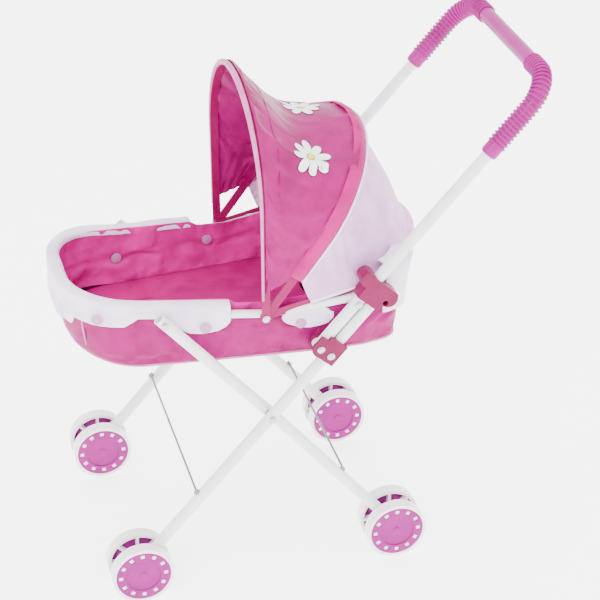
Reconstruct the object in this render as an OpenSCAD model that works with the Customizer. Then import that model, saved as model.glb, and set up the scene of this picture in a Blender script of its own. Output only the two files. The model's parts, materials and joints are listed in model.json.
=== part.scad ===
/* [Layout] */
// distance between the front and the rear wheel axles
wheelbase = 291.4; // [230:1:360]
// lean of the front legs above the floor
front_leg_angle = 48; // [42:0.5:54]
// front axle to the leg crossing, along the front leg
cross_length = 225.4; // [180:1:270]
// front axle to the hinge bracket rivet, along the front leg
bracket_length = 321.4; // [280:1:380]
// front leg stub above the bracket rivet, caught by the latch
stub_length = 76.8; // [60:1:100]
// hinge pin to the grip bar, along the handle
handle_length = 368.4; // [300:1:440]
// outer plane of the front legs and the handle, from the middle
outer_plane = 124; // [118:1:150]
// gap between the front and the rear leg tubes where they cross
leg_gap = 1; // [0.6:0.1:3]
// how far the rear wheels stand outside the upper ends of the rear legs
rear_spread = 9.2; // [0:0.1:20]

/* [Tubes] */
// outside diameter of the leg and handle tubes
tube_d = 12.5; // [10:0.5:16]
// wall of the tubes
tube_wall = 1.0; // [0.6:0.1:2]
// outside diameter of the basket rail
rail_d = 9; // [7:0.5:12]
// half width of the basket rail at the foot end, on its centre line
foot_half = 88.5; // [76:0.5:94]
// diameter of the hoop at the head end of the basket
hoop_d = 8; // [6:0.5:10]
// height of the basket rail above the floor, at its lowest point
rail_z = 318; // [290:1:340]
// centre line of the rail at the foot end, ahead of the front axle
rail_front = 54.1; // [30:1:80]
// centre line of the rail at the head end, behind the front axle
rail_rear = 304; // [260:1:340]
// rail corner radius at the foot end
rail_corner_front = 65; // [40:1:80]
// rail corner radius at the head end
rail_corner_rear = 24; // [15:1:40]
// bend radius of the handle
handle_bend = 36; // [25:1:60]
// diameter of the brace wires
wire_d = 2.5; // [2:0.1:4]

/* [Pivots] */
// radius of every rivet shank
rivet_r = 2; // [1.5:0.1:3]
// radius of every rivet head
rivet_head_r = 4.2; // [3:0.1:6]
// leg pivot on the rail, behind the front axle
leg_pivot_x = 41; // [20:1:80]
// leg pivot height above the floor
leg_pivot_z = 328; // [300:1:360]
// canopy pivot, behind the front axle
canopy_x = 149.5; // [120:1:190]
// gap between the handle and the front leg beside it
hinge_gap = 2.2; // [1:0.1:7]
// hinge pin to the rail rivet, along the handle
rail_rivet_s = 62.6; // [45:0.5:80]

/* [Wheels] */
// wheel radius
wheel_r = 34; // [26:1:45]
// half width of a twin wheel
wheel_half = 21.4; // [18:0.2:30]
// clearance between a leg and the wheel discs on both sides of it
wheel_clear = 0.35; // [0.2:0.05:4]
// radius of the hub cap
cap_r = 30.4; // [22:0.2:40]
// thickness of the hub cap
cap_t = 4; // [2:0.5:6]
// axle radius
axle_r = 2.5; // [2:0.1:4]
// radius of the leg eye round the axle
eye_r = 7; // [5:0.5:10]
// windows round the hub cap
cap_windows = 12; // [6:1:16]
// side of a hub cap window
window = 5; // [3:0.2:6]
// radius of the nub in the middle of the hub cap
hub_r = 4; // [3:0.2:8]

/* [Basket] */
// height of the basket bottom above the floor
basket_z = 266; // [230:1:290]
// top of the rim cover above the floor
rim_z = 344; // [342:1:370]
// lowest point of the rim cover lobes
lobe_z = 304.5; // [290:0.5:312]
// thickness of the inner lining
liner_t = 3; // [2:0.5:6]
// thickness of the rim cover
cover_t = 1.4; // [1:0.2:2.6]
// thickness of the floor pad
pad_t = 6; // [3:0.5:12]
// where the rim cover stops on each side
cover_end = 114; // [90:1:130]
// where the rim cover starts again at the head end
cover_restart = 269; // [262:1:285]
// half width of the notch in the rim cover at the foot end
notch_half = 34; // [20:1:45]
// side snap, along the rail from the foot corner
snap_along = 76; // [60:1:95]
// turn of the front snap round the foot corner
snap_turn = 26; // [10:1:60]
// start of the side flaps, behind the front axle
flap_x = 172; // [160:1:195]
// length of the side flaps
flap_length = 54; // [40:1:70]

/* [Canopy] */
// reach of the front bow from its pivot
front_bow_reach = 234; // [200:1:270]
// reach of the middle bow from its pivot
middle_bow_reach = 210; // [180:1:250]
// reach of the rear bow from its pivot
rear_bow_reach = 193; // [170:1:240]
// angle of the front bow above the rear level
front_bow_angle = 90; // [75:1:110]
// angle of the middle bow above the rear level
middle_bow_angle = 53; // [40:1:62]
// angle of the rear bow above the rear level
rear_bow_angle = 12; // [8:1:16]
// width of the bow strips
bow_w = 9; // [6:0.5:14]
// thickness of the bow strips
bow_t = 2; // [1.5:0.1:3]
// thickness of the canopy cloth
cloth_t = 1.2; // [0.8:0.1:2]

/* [Grip and latch] */
// length of a grip sleeve along the handle, before the bend
grip_length = 62.4; // [45:0.2:110]
// radius of the grip ribs
rib_r = 11; // [9:0.5:14]
// radius of the grip between the ribs
grip_r = 9; // [7.6:0.1:12]
// length of the grip sleeve that runs onto the bar
sleeve_in = 20; // [12:1:30]
// start of the latch, from the hinge pin along the handle
latch_start = 69.2; // [60:0.1:90]
// length of the latch
latch_length = 28; // [20:1:40]

/* [Clearances] */
// around the hinge pins and rivets, radial
pin_gap = 0.05; // [0.01:0.01:0.1]
// around the axles, radial
axle_gap = 0.06; // [0.01:0.01:0.1]
// between a plastic part and the tube inside it
tube_gap = 0.1; // [0.05:0.01:0.3]
// between neighbouring soft parts
soft_gap = 0.3; // [0.2:0.05:1]
// between stacked bow strips
bow_gap = 0.3; // [0.2:0.05:1]

/* [Hidden] */
$fn = 64;
tube_r = tube_d / 2;
rail_r = rail_d / 2;
cheek = 3;
block_half = tube_r + 0.25 + cheek;
inner_face = outer_plane - tube_r;
inner_plane = outer_plane - tube_d - leg_gap;
rear_wheel_plane = inner_plane + rear_spread;
hinge_offset = tube_d + hinge_gap;
grip_x = cos(front_leg_angle);
grip_z = sin(front_leg_angle);
cross = [cross_length * grip_x, wheel_r + cross_length * grip_z];
bracket = [bracket_length * grip_x, wheel_r + bracket_length * grip_z];
hinge = [bracket[0] - hinge_offset * grip_z, bracket[1] + hinge_offset * grip_x];
rail_rivet = [hinge[0] + rail_rivet_s * grip_x, hinge[1] + rail_rivet_s * grip_z];
grip_bar = [hinge[0] + handle_length * grip_x, hinge[1] + handle_length * grip_z];
leg_pivot = [leg_pivot_x, leg_pivot_z];
front_axle = [0, wheel_r];
rear_axle = [wheelbase, wheel_r];
upper_leg = norm(leg_pivot - cross);
upper_angle = atan2(leg_pivot[1] - cross[1], leg_pivot[0] - cross[0]);
lower_leg = norm(cross - rear_axle);
lower_angle = atan2(cross[1] - wheel_r, cross[0] - wheelbase);
bend_start = 20;
splay = atan2(rear_wheel_plane - inner_plane, lower_leg - bend_start);
wheel_gap = tube_r / cos(splay) + wheel_r * tan(splay) + wheel_clear;
rail_knee = canopy_x + 6;
head_lean = atan2(rail_rivet[1] - rail_z, rail_rivet[0] - rail_knee);
foot_lean = atan2(leg_pivot_z - rail_z, rail_knee - leg_pivot_x);
rivet_half = inner_face - rail_r - 0.45;
hoop_r = hoop_d / 2;
corner = [rail_corner_front - rail_front, foot_half - rail_corner_front];
reach_x = rail_rivet[0] - corner[0];
reach_y = rivet_half - corner[1];
taper = atan2(reach_y, reach_x) - asin(rail_corner_front / norm([reach_x, reach_y]));
knee_s = (rail_knee - corner[0]) / cos(taper) + rail_corner_front * tan(taper);
rivet_s = reach_x / cos(taper) + (reach_y - reach_x * tan(taper) - rail_corner_front / cos(taper));
link_tail = 12;
bead = 0.15;
hoop_lead = 9;
hoop_half = rivet_half - rail_r - hoop_r - 0.3 - hoop_lead * tan(taper);
hoop_x = rail_rivet[0] - (rivet_half - hoop_half) / tan(taper);
pivot_half = rivet_half - (rail_rivet[0] - leg_pivot_x) * tan(taper);
canopy_half = rivet_half - (rail_rivet[0] - canopy_x) * tan(taper);
canopy_pivot = [canopy_x, rail_z + (rail_knee - canopy_x) * tan(foot_lean)];
front_wire_s = 0.335 * bracket_length;
rear_wire_s = 97;
rear_wire_y = rear_wire_s < lower_leg - bend_start
    ? rear_wheel_plane - rear_wire_s * tan(splay) : inner_plane;
bow_1 = canopy_half + rail_r + 0.3 + bow_gap + bow_t / 2;
bow_2 = bow_1 + bow_t + bow_gap;
bow_3 = bow_2 + bow_t + bow_gap;
skirt_in = rail_r + 0.3;
skirt_out = skirt_in + cover_t;
liner_out = -rail_r - 1.2;
liner_in = liner_out - liner_t;
flap_out = liner_in - soft_gap;
flap_in = flap_out - cover_t;
wall_out = -3;
wall_in = liner_out + soft_gap;
wall_top = rail_z - rail_r - 0.5;
x_front = -rail_front - skirt_out;
x_back = grip_bar[0] + rib_r;
x_mid = (x_front + x_back) / 2;
liner_top = rim_z - cover_t - 2;
flap_y = rivet_half - (rail_rivet[0] - flap_x - flap_length) * tan(taper)
    + wall_out + soft_gap + 0.6;
straight = handle_length - handle_bend;
grip_start = straight - grip_length;
// the latch is hollowed beside the rail link's end, which turns past it
relief_r = rail_r + 9.5;
relief_y = rivet_half + rail_r - 0.8 - outer_plane;

function arc(cx, cy, r, a0, a1, n = 8) =
    [for (i = [0:n]) [cx + r * cos(a0 + (a1 - a0) * i / n), cy + r * sin(a0 + (a1 - a0) * i / n)]];

// which part to draw

// ---- helpers ----

// left is the -Y side: everything is drawn at +Y and turned over for the left
module side(left) {
    mirror([0, left ? 1 : 0, 0]) children();
}

module at(p, y = 0) {
    translate([p[0] - x_mid, y, p[1]]) children();
}

// a round bar along +Y
module bar_y(r, h) {
    rotate([-90, 0, 0]) cylinder(r = r, h = h);
}

// a round bar in the X-Z plane, angle measured from +X towards +Z
module bar_xz(angle, r, h) {
    rotate([0, 90 - angle, 0]) cylinder(r = r, h = h);
}

// local frame on the handle: X along the tube, Z towards the front
module on_handle(y = 0) {
    at(hinge, y) rotate([0, -front_leg_angle, 0]) children();
}

// shank from y0 to y1 with a domed head on the outside
module rivet(y0, y1) {
    translate([0, y0, 0]) bar_y(rivet_r, y1 - y0 + 0.6);
    translate([0, y1 + 0.05, 0]) bar_y(rivet_head_r, 0.8);
    translate([0, y1 + 0.85, 0]) rotate([-90, 0, 0])
        cylinder(r1 = rivet_head_r, r2 = rivet_head_r * 0.55, h = 1.1);
}

// basket outline grown by d from the rail centre line; inner ones run inside the head hoop
function outline_half(d, inner) = concat(
    arc(rail_rear - rail_corner_rear, hoop_half - rail_corner_rear, rail_corner_rear + d, 0, 90),
    [inner ? [hoop_x, hoop_half + d] : [rail_rivet[0], rivet_half + d]],
    arc(corner[0], corner[1], rail_corner_front + d, 90 + taper, 180, 12));

function outline(d, inner = false) =
    let (half = outline_half(d, inner), n = len(half))
        concat(half, [for (i = [n - 1:-1:0]) [half[i][0], -half[i][1]]]);

module tray(d, z0, z1, inner = false) {
    translate([-x_mid, 0, z0]) linear_extrude(height = z1 - z0) polygon(outline(d, inner));
}

module ring(d_out, d_in, z0, z1, inner = false, inner_hole = false) {
    translate([-x_mid, 0, z0]) linear_extrude(height = z1 - z0)
        difference() {
            polygon(outline(d_out, inner));
            polygon(outline(d_in, inner || inner_hole));
        }
}

// tilts what is drawn level about the rail's lowest point, in front of it or behind it
module foot_tilt() {
    at([rail_knee, rail_z]) rotate([0, foot_lean, 0])
        translate([x_mid - rail_knee, 0, -rail_z]) children();
}

module head_tilt() {
    at([rail_knee, rail_z]) rotate([0, -head_lean, 0])
        translate([x_mid - rail_knee, 0, -rail_z]) children();
}

// ---- basket ----

// straight side of the rail, from s0 to s1 along it, measured from the corner
module rail_side(s0, s1, r = rail_r) {
    at([corner[0], rail_z], corner[1]) rotate([0, 0, taper]) translate([s0, rail_corner_front, 0])
        rotate([0, 90, 0]) cylinder(r = r, h = s1 - s0);
}

module rail_foot() {
    color("whitesmoke") difference() {
        union() {
            foot_tilt() {
                for (m = [0, 1]) mirror([0, m, 0]) {
                    at([corner[0], rail_z], corner[1]) rotate([0, 0, 90 + taper])
                        rotate_extrude(angle = 90 - taper)
                            translate([rail_corner_front, 0]) circle(rail_r);
                    rail_side(0, knee_s - 0.6);
                    // weld beads where the corner meets the straight lengths
                    at([corner[0], rail_z], corner[1]) {
                        translate([-rail_corner_front, 0, 0]) sphere(rail_r + bead);
                        rotate([0, 0, taper]) translate([0, rail_corner_front, 0])
                            sphere(rail_r + bead);
                    }
                }
                at([-rail_front, rail_z], -corner[1]) bar_y(rail_r, 2 * corner[1]);
            }
            // welded bush that carries the rear leg
            for (m = [0, 1]) mirror([0, m, 0]) at(leg_pivot, pivot_half)
                bar_y(rail_r - 0.6, inner_plane - tube_r - 0.35 - pivot_half);
        }
        for (m = [0, 1]) mirror([0, m, 0]) {
            at(leg_pivot, pivot_half - 2.5) bar_y(rivet_r + pin_gap, 40);
            at(canopy_pivot, canopy_half - 2.5) bar_y(rivet_r + pin_gap, 40);
        }
    }
}

// short side of the rail behind the knee, riveted to the handle
module rail_link(left) {
    color("whitesmoke") side(left) difference() {
        head_tilt() rail_side(knee_s + 0.6, rivet_s + link_tail);
        at(rail_rivet, rivet_half - 20) bar_y(rivet_r + pin_gap, 40);
    }
}

// hoop that holds the head end of the basket, inside the rail links
module rail_head() {
    start = rail_rivet[0] - hoop_lead;
    color("whitesmoke") difference() {
        head_tilt() union() {
            for (m = [0, 1]) mirror([0, m, 0]) {
                at([start, rail_z], hoop_half)
                    bar_xz(0, hoop_r, rail_rear - rail_corner_rear - start);
                at([rail_rear - rail_corner_rear, rail_z], hoop_half - rail_corner_rear) {
                    rotate_extrude(angle = 90) translate([rail_corner_rear, 0]) circle(hoop_r);
                    translate([0, rail_corner_rear, 0]) sphere(hoop_r + bead);
                    translate([rail_corner_rear, 0, 0]) sphere(hoop_r + bead);
                }
            }
            at([rail_rear, rail_z], rail_corner_rear - hoop_half)
                bar_y(hoop_r, 2 * (hoop_half - rail_corner_rear));
        }
        for (m = [0, 1]) mirror([0, m, 0])
            at(rail_rivet, hoop_half - 2) bar_y(rivet_r + pin_gap, 40);
    }
}

module leg_rivet(left) {
    color("silver") side(left) at(leg_pivot) rivet(pivot_half - 2.4, inner_plane + tube_r);
}

module canopy_rivet(left) {
    color("silver") side(left) at(canopy_pivot)
        rivet(canopy_half - 2.4, bow_3 + bow_t / 2 + 0.1);
}

module basket_wall() {
    color("deeppink") difference() {
        tray(wall_out, basket_z, wall_top);
        tray(wall_in, basket_z + liner_t, wall_top + 1);
    }
}

module basket_liner() {
    z = basket_z + liner_t + soft_gap;
    color("hotpink") difference() {
        tray(liner_out, z, liner_top, true);
        tray(liner_in, z + liner_t, rim_z, true);
    }
}

module floor_pad() {
    z = basket_z + 2 * liner_t + 2 * soft_gap;
    color("mediumvioletred") tray(flap_in - 1.5, z, z + pad_t, true);
}

// outer skirt with its top band; beside the canopy it is left out
module cover_skirt() {
    ring(skirt_out, skirt_in, lobe_z, rim_z);
    ring(skirt_out, flap_in, rim_z - cover_t, rim_z, false, true);
}

module cover_flap() {
    ring(flap_out, flap_in, lobe_z + 8, rim_z, true);
}

module cover_box(x0, x1, y0, y1, z0, z1) {
    at([x0, z0], y0) cube([x1 - x0, y1 - y0, z1 - z0]);
}

module rim_cover() {
    wide = rivet_half + 20;
    low = lobe_z - 40;
    high = rim_z + 40;
    color("white") union() {
        difference() {
            union() {
                cover_flap();
                cover_skirt();
            }
            cover_box(rail_knee, rail_rear + 60, -wide, wide, low, high);
            difference() {
                cover_box(cover_end, rail_knee + 1, -wide, wide, low, high);
                tray(flap_out, low - 1, high + 1, true);
            }
            for (m = [0, 1]) mirror([0, m, 0]) {
                cover_box(leg_pivot_x - 25, leg_pivot_x + 25, pivot_half - 4, wide, low, leg_pivot_z - 9);
                at(leg_pivot, pivot_half - 2) bar_y(rail_r + 1, 30);
            }
            cover_box(-rail_front - 30, -rail_front + 5, -notch_half, notch_half, low, rail_z - 4);
        }
        difference() {
            head_tilt() union() {
                cover_flap();
                cover_skirt();
            }
            cover_box(-rail_front - 60, rail_knee, -wide, wide, low, high);
            difference() {
                cover_box(rail_knee - 1, cover_restart, -wide, wide, low, high);
                head_tilt() tray(flap_out, low - 1, high + 1, true);
            }
            bow(bow_1, rear_bow_reach, rear_bow_angle, soft_gap);
        }
    }
}

// piping sewn under the bottom edge
module hem_piping() {
    color("pink") ring(wall_out, wall_out - 2.6, basket_z - 2.6, basket_z);
}

module side_flap(left) {
    color("white") side(left) union() {
        at([flap_x, 0], flap_y + 1.4) rotate([90, 0, 0]) linear_extrude(height = 1.4)
            polygon([for (p = [[0, 1], [0.11, 9], [0.37, 16], [0.67, 13], [0.85, 5], [1, 1]])
                [p[0] * flap_length, wall_top - p[1]]]);
        at([flap_x + 0.35 * flap_length, wall_top - 8], flap_y + 1.3) bar_y(6, 0.8);
    }
}

module snap_disc() {
    color("pink") union() {
        bar_y(6, 0.8);
        translate([0, 0.8, 0]) bar_y(4.2, 0.5);
    }
}

module snap_front(left) {
    side(left) at([corner[0], rim_z - 19], corner[1]) rotate([0, 0, snap_turn])
        translate([0, rail_corner_front + skirt_out + 0.05, 0]) snap_disc();
}

module snap_side(left) {
    side(left) at([corner[0], rim_z - 31], corner[1]) rotate([0, 0, taper])
        translate([snap_along, rail_corner_front + skirt_out + 0.05, 0]) snap_disc();
}

// ---- canopy ----

// bow strip lying across the plane of its own arch; grow makes the slot it needs
module bow(half, reach, angle, grow = 0) {
    w = bow_w + 2 * grow;
    t = bow_t + 2 * grow;
    at(canopy_pivot) rotate([0, 90 - angle, 0]) difference() {
        union() {
            for (m = [0, 1]) mirror([0, m, 0]) {
                translate([-w / 2, half - t / 2, 0]) cube([w, t, reach - half]);
                translate([0, half - t / 2, 0]) bar_y(w / 2 + 0.7, t);
            }
            translate([0, 0, reach - half]) rotate([90, 0, 90]) rotate_extrude(angle = 180)
                translate([half - t / 2, -w / 2]) square([t, w]);
        }
        translate([0, -half - 5, 0]) bar_y(rivet_r + pin_gap, 2 * half + 10);
    }
}

module arch2d(half, reach, start) {
    polygon(concat([[-half, start]], arc(0, reach - half, half, 180, 0, 20), [[half, start]]));
}

// stretched cloth between two bows, clear of the strips' edges
module hood(half_a, reach_a, angle_a, half_b, reach_b, angle_b, low) {
    edge = bow_w / 2 + 0.7 + soft_gap;
    difference() {
        hull() {
            hood_slice(half_a + cloth_t, reach_a + cloth_t, angle_a, low, -edge - 0.25);
            hood_slice(half_b + cloth_t, reach_b + cloth_t, angle_b, low, edge + 0.25);
        }
        hull() {
            hood_slice(half_a, reach_a, angle_a, low - 20, -edge + 0.5);
            hood_slice(half_b, reach_b, angle_b, low - 20, edge - 0.5);
        }
    }
}

// thin arch parallel to a bow's plane, shifted towards the rear by shift
module hood_slice(half, reach, angle, low, shift) {
    at(canopy_pivot) rotate([0, 90 - angle, 0]) translate([shift, 0, 0]) rotate([90, 0, 90])
        linear_extrude(height = 0.5, center = true) arch2d(half, reach, low);
}

module canopy_rear_bow() {
    color("hotpink") difference() {
        bow(bow_1, rear_bow_reach, rear_bow_angle);
        // saddle where the strip rests on the rail
        for (m = [0, 1]) mirror([0, m, 0]) head_tilt()
            rail_side(knee_s - 4, rivet_s + link_tail + 1, rail_r + soft_gap);
    }
}

module canopy_middle_bow() {
    color("hotpink") bow(bow_2, middle_bow_reach, middle_bow_angle);
}

module canopy_front_bow() {
    color("hotpink") bow(bow_3, front_bow_reach, front_bow_angle);
}

module hood_rear_panel() {
    color("pink") hood(bow_1 + bow_t / 2, rear_bow_reach, rear_bow_angle + 5,
        bow_2 + bow_t / 2, middle_bow_reach, middle_bow_angle, 66);
}

module hood_front_panel() {
    color("deeppink") hood(bow_2 + bow_t / 2, middle_bow_reach, middle_bow_angle,
        bow_3 + bow_t / 2, front_bow_reach, front_bow_angle, 30);
}

// ---- rear legs ----

module rear_leg(left) {
    reach = norm([lower_leg - bend_start, rear_wheel_plane - inner_plane]);
    color("whitesmoke") side(left) difference() {
        union() {
            at(cross, inner_plane) {
                bar_xz(upper_angle, tube_r, upper_leg + 8);
                bar_xz(lower_angle + 180, tube_r, bend_start);
                sphere(tube_r + 0.15);
            }
            at(cross, inner_plane) rotate([0, -lower_angle - 180, 0]) translate([bend_start, 0, 0])
                rotate([0, 0, splay]) {
                    sphere(tube_r + 0.15);
                    rotate([0, 90, 0]) cylinder(r = tube_r, h = reach);
                }
            at(rear_axle, rear_wheel_plane - tube_r - 0.3) bar_y(eye_r, tube_d + 0.6);
        }
        at(cross, inner_plane) rotate([0, 90 - upper_angle, 0]) translate([0, 0, 6])
            cylinder(r = tube_r - tube_wall, h = upper_leg + 10);
        at(leg_pivot, inner_plane - 20) bar_y(rivet_r + pin_gap, 40);
        at(cross, inner_plane - 20) bar_y(rivet_r + pin_gap, 40);
        at(rear_axle, rear_wheel_plane - 20) bar_y(axle_r + axle_gap, 40);
    }
}

module brace_wire(p, angle, y) {
    at(p) rotate([0, -angle, 0]) translate([0, 0, tube_r + wire_d / 2 + 0.05]) {
        translate([0, -y, 0]) bar_y(wire_d / 2, 2 * y);
        for (m = [0, 1]) mirror([0, m, 0])
            translate([0, y, 0]) translate([0, 0, -wire_d / 2]) cylinder(r = 3.2, h = wire_d);
    }
}

module rear_wire() {
    p = rear_axle + rear_wire_s * [cos(lower_angle), sin(lower_angle)];
    color("silver") brace_wire(p, lower_angle + 180, rear_wire_y);
}

module cross_tail(left) {
    color("silver") side(left) at(cross) {
        translate([0, inner_plane - tube_r - 1.25, 0]) bar_y(rivet_head_r, 1.2);
        translate([0, inner_plane - tube_r - 0.5, 0]) bar_y(rivet_r, tube_d + 0.5);
    }
}

// ---- front legs ----

module front_leg(left) {
    color("whitesmoke") side(left) difference() {
        union() {
            at(front_axle, outer_plane)
                bar_xz(front_leg_angle, tube_r, bracket_length + stub_length);
            at(front_axle, outer_plane - tube_r - 0.3) bar_y(eye_r, tube_d + 0.6);
        }
        at(cross, outer_plane) rotate([0, 90 - front_leg_angle, 0]) translate([0, 0, 12])
            cylinder(r = tube_r - tube_wall, h = bracket_length + stub_length - cross_length);
        at(front_axle, outer_plane - 20) bar_y(axle_r + axle_gap, 40);
        at(cross, outer_plane - 20) bar_y(rivet_r + pin_gap, 40);
        at(bracket, outer_plane - 20) bar_y(rivet_r + pin_gap, 40);
    }
}

module front_wire() {
    p = front_axle + front_wire_s * [grip_x, grip_z];
    color("silver") brace_wire(p, front_leg_angle, outer_plane);
}

module cross_rivet(left) {
    color("silver") side(left) at(cross) {
        translate([0, inner_face - leg_gap + 0.1, 0]) bar_y(5, leg_gap - 0.1);
        rivet(inner_face - leg_gap / 2, outer_plane + tube_r);
    }
}

// cheeks round the handle's pivot, solid round the front leg
module hinge_bracket(left) {
    n = hinge_offset;
    color("mediumvioletred") side(left) on_handle(outer_plane) difference() {
        union() {
            translate([-9, -block_half, -n - 9]) cube([27, 2 * block_half, n + 9]);
            translate([0, -block_half, 0]) bar_y(9.5, 2 * block_half);
            translate([0, -block_half, -5]) cube([13, 2 * block_half, 14]);
        }
        translate([-30, 0, -n]) rotate([0, 90, 0]) cylinder(r = tube_r + tube_gap, h = 80);
        translate([-30, -tube_r - 0.25, -tube_r - 0.4]) cube([80, tube_d + 0.5, 40]);
        translate([0, -20, 0]) bar_y(rivet_r + pin_gap, 40);
        translate([0, -20, -n]) bar_y(rivet_r + pin_gap, 40);
    }
}

module hinge_pin(left) {
    color("silver") side(left) at(hinge) union() {
        rivet(outer_plane - block_half - 0.6, outer_plane + block_half);
        translate([0, outer_plane - block_half - 1.05, 0]) bar_y(rivet_head_r, 1);
    }
}

module bracket_rivet(left) {
    color("silver") side(left) at(bracket) union() {
        rivet(outer_plane - block_half - 0.6, outer_plane + block_half);
        translate([0, outer_plane - block_half - 1.05, 0]) bar_y(rivet_head_r, 1);
    }
}

// ---- handle ----

// grip path at +Y: along the handle, round the bend and out onto the bar
module handle_side(r) {
    rotate([0, 90, 0]) cylinder(r = r, h = straight);
    translate([straight, -handle_bend, 0]) rotate_extrude(angle = 90)
        translate([handle_bend, 0]) circle(r);
}

module handle_tube() {
    r_in = tube_r - tube_wall;
    bar_half = outer_plane - handle_bend;
    color("whitesmoke") difference() {
        union() {
            for (m = [0, 1]) mirror([0, m, 0]) on_handle(outer_plane) {
                handle_side(tube_r);
                translate([0, -tube_r - 0.12, 0]) bar_y(tube_r - 0.1, tube_d + 0.24);
            }
            on_handle() translate([handle_length, -bar_half, 0]) bar_y(tube_r, 2 * bar_half);
        }
        for (m = [0, 1]) mirror([0, m, 0]) on_handle(outer_plane) {
            translate([14, 0, 0]) rotate([0, 90, 0]) cylinder(r = r_in, h = straight - 14.01);
            translate([0, -20, 0]) bar_y(rivet_r + pin_gap, 40);
            translate([rail_rivet_s, -20, 0]) bar_y(rivet_r + pin_gap, 40);
        }
        on_handle() translate([handle_length, -bar_half + 0.5, 0]) bar_y(r_in, 2 * bar_half - 1);
    }
}

module rail_rivet_pin(left) {
    color("silver") side(left) at(rail_rivet) rivet(hoop_half - 1.9, outer_plane + tube_r);
}

module grip_sleeve(left) {
    pitch = 4.6;
    ribs = floor((straight - grip_start - 16) / pitch);
    turns = 12;
    step = 90 / turns;
    bar_y0 = outer_plane - handle_bend;
    color("mediumvioletred") side(left) difference() {
        union() {
            on_handle(outer_plane) translate([grip_start, 0, 0]) rotate([0, 90, 0])
                cylinder(r = tube_r + 1.7, h = 14);
            on_handle(outer_plane) translate([grip_start + 12, 0, 0]) rotate([0, 90, 0])
                cylinder(r = grip_r, h = straight - grip_start - 12);
            on_handle(outer_plane) translate([straight, -handle_bend, 0])
                rotate_extrude(angle = 90) translate([handle_bend, 0]) circle(grip_r);
            on_handle() translate([handle_length, bar_y0 - sleeve_in, 0]) bar_y(grip_r, sleeve_in);
            for (i = [0:ribs - 1]) on_handle(outer_plane)
                translate([grip_start + 16 + i * pitch, 0, 0]) rotate([0, 90, 0])
                    cylinder(r = rib_r, h = 2.6);
            for (i = [0:turns]) on_handle(outer_plane)
                translate([straight, -handle_bend, 0]) rotate([0, 0, i * step])
                    translate([handle_bend, -1.2, 0]) bar_y(rib_r, 2.4);
            for (i = [1:3]) on_handle()
                translate([handle_length, bar_y0 - i * pitch - 1.2, 0]) bar_y(rib_r, 2.6);
        }
        on_handle(outer_plane) translate([grip_start - 1, 0, 0]) rotate([0, 90, 0])
            cylinder(r = tube_r + tube_gap, h = straight - grip_start + 1);
        on_handle(outer_plane) translate([straight, -handle_bend, 0])
            rotate_extrude(angle = 90) translate([handle_bend, 0]) circle(tube_r + tube_gap);
        on_handle() translate([handle_length, bar_y0 - sleeve_in - 1, 0])
            bar_y(tube_r + tube_gap, sleeve_in + 1);
    }
}

module grip_centre() {
    half = outer_plane - handle_bend - sleeve_in - 0.2;
    color("hotpink") on_handle() translate([handle_length, -half, 0]) difference() {
        bar_y(grip_r - 0.2, 2 * half);
        translate([0, -1, 0]) bar_y(tube_r + tube_gap, 2 * half + 2);
    }
}

// slides along the handle; its slot catches the top of the front leg
module latch(left) {
    n = hinge_offset;
    s0 = latch_start;
    color("mediumvioletred") side(left) on_handle(outer_plane) difference() {
        union() {
            translate([s0, -block_half, -n - 7]) cube([latch_length, 2 * block_half, n + 16]);
            translate([s0 + 22, -block_half, 12]) bar_y(8.5, 2 * block_half);
            translate([s0 + 12, -block_half, -n - 13]) cube([15, 2 * block_half, 8]);
            translate([s0 + 18, -block_half, -n - 7]) bar_y(9.8, 2 * block_half);
        }
        translate([s0 - 20, 0, 0]) rotate([0, 90, 0]) cylinder(r = tube_r + tube_gap, h = 80);
        translate([s0 - 1, -tube_r - 0.25, -n - 40])
            cube([stub_length + 0.7 - s0 + 1, tube_d + 0.5, 40 + tube_r + 0.25]);
        translate([s0 + 12, -20, -n - 7]) bar_y(3, 40);
        translate([rail_rivet_s, -block_half - 1, 0]) bar_y(relief_r, relief_y + block_half + 1);
    }
}

// ---- wheels ----

// half spaces are measured from the wheel's own middle plane, outwards
module disc_white() {
    difference() {
        translate([0, wheel_gap, 0]) bar_y(wheel_r, wheel_half - wheel_gap);
        translate([0, wheel_half - cap_t, 0]) bar_y(cap_r + tube_gap, cap_t + 1);
        for (i = [0:7]) rotate([0, i * 45, 0]) intersection() {
            translate([0, wheel_gap - 1, 0]) difference() {
                bar_y(cap_r, 8.5);
                translate([0, -1, 0]) bar_y(10, 12);
            }
            translate([1.5, wheel_gap - 2, 1.5]) cube([40, 12, 40]);
            rotate([0, -45, 0]) translate([1.5, wheel_gap - 2, -41.5]) cube([40, 12, 40]);
        }
        translate([0, wheel_gap - 1, 0]) bar_y(axle_r + pin_gap, 20);
    }
}

module wheel_inner(left, p, y) {
    color("white") side(left) at(p, y) mirror([0, 1, 0]) disc_white();
}

module wheel_outer(left, p, y) {
    color("white") side(left) at(p, y) disc_white();
}

// cap with a recessed middle, windows near its edge and a hub nub
module hub_cap() {
    difference() {
        translate([0, wheel_half - cap_t + 0.1, 0]) bar_y(cap_r, cap_t - 0.1);
        translate([0, wheel_half - 1.2, 0]) difference() {
            bar_y(0.64 * cap_r, 2);
            bar_y(hub_r, 0.8);
        }
        for (i = [0:cap_windows - 1]) rotate([0, i * 360 / cap_windows, 0])
            translate([0.82 * cap_r - window / 2, wheel_half - 1.6, -window / 2])
                cube([window, 3, window]);
    }
}

// the two hub caps, pressed on the ends of the axle pin that joins the discs
module wheel_cap(left, p, y) {
    half = wheel_half - cap_t + 0.6;
    color("mediumvioletred") side(left) at(p, y) union() {
        for (m = [0, 1]) mirror([0, m, 0]) hub_cap();
        translate([0, -half, 0]) bar_y(axle_r, 2 * half);
    }
}

// ---- nodes ----

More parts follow.
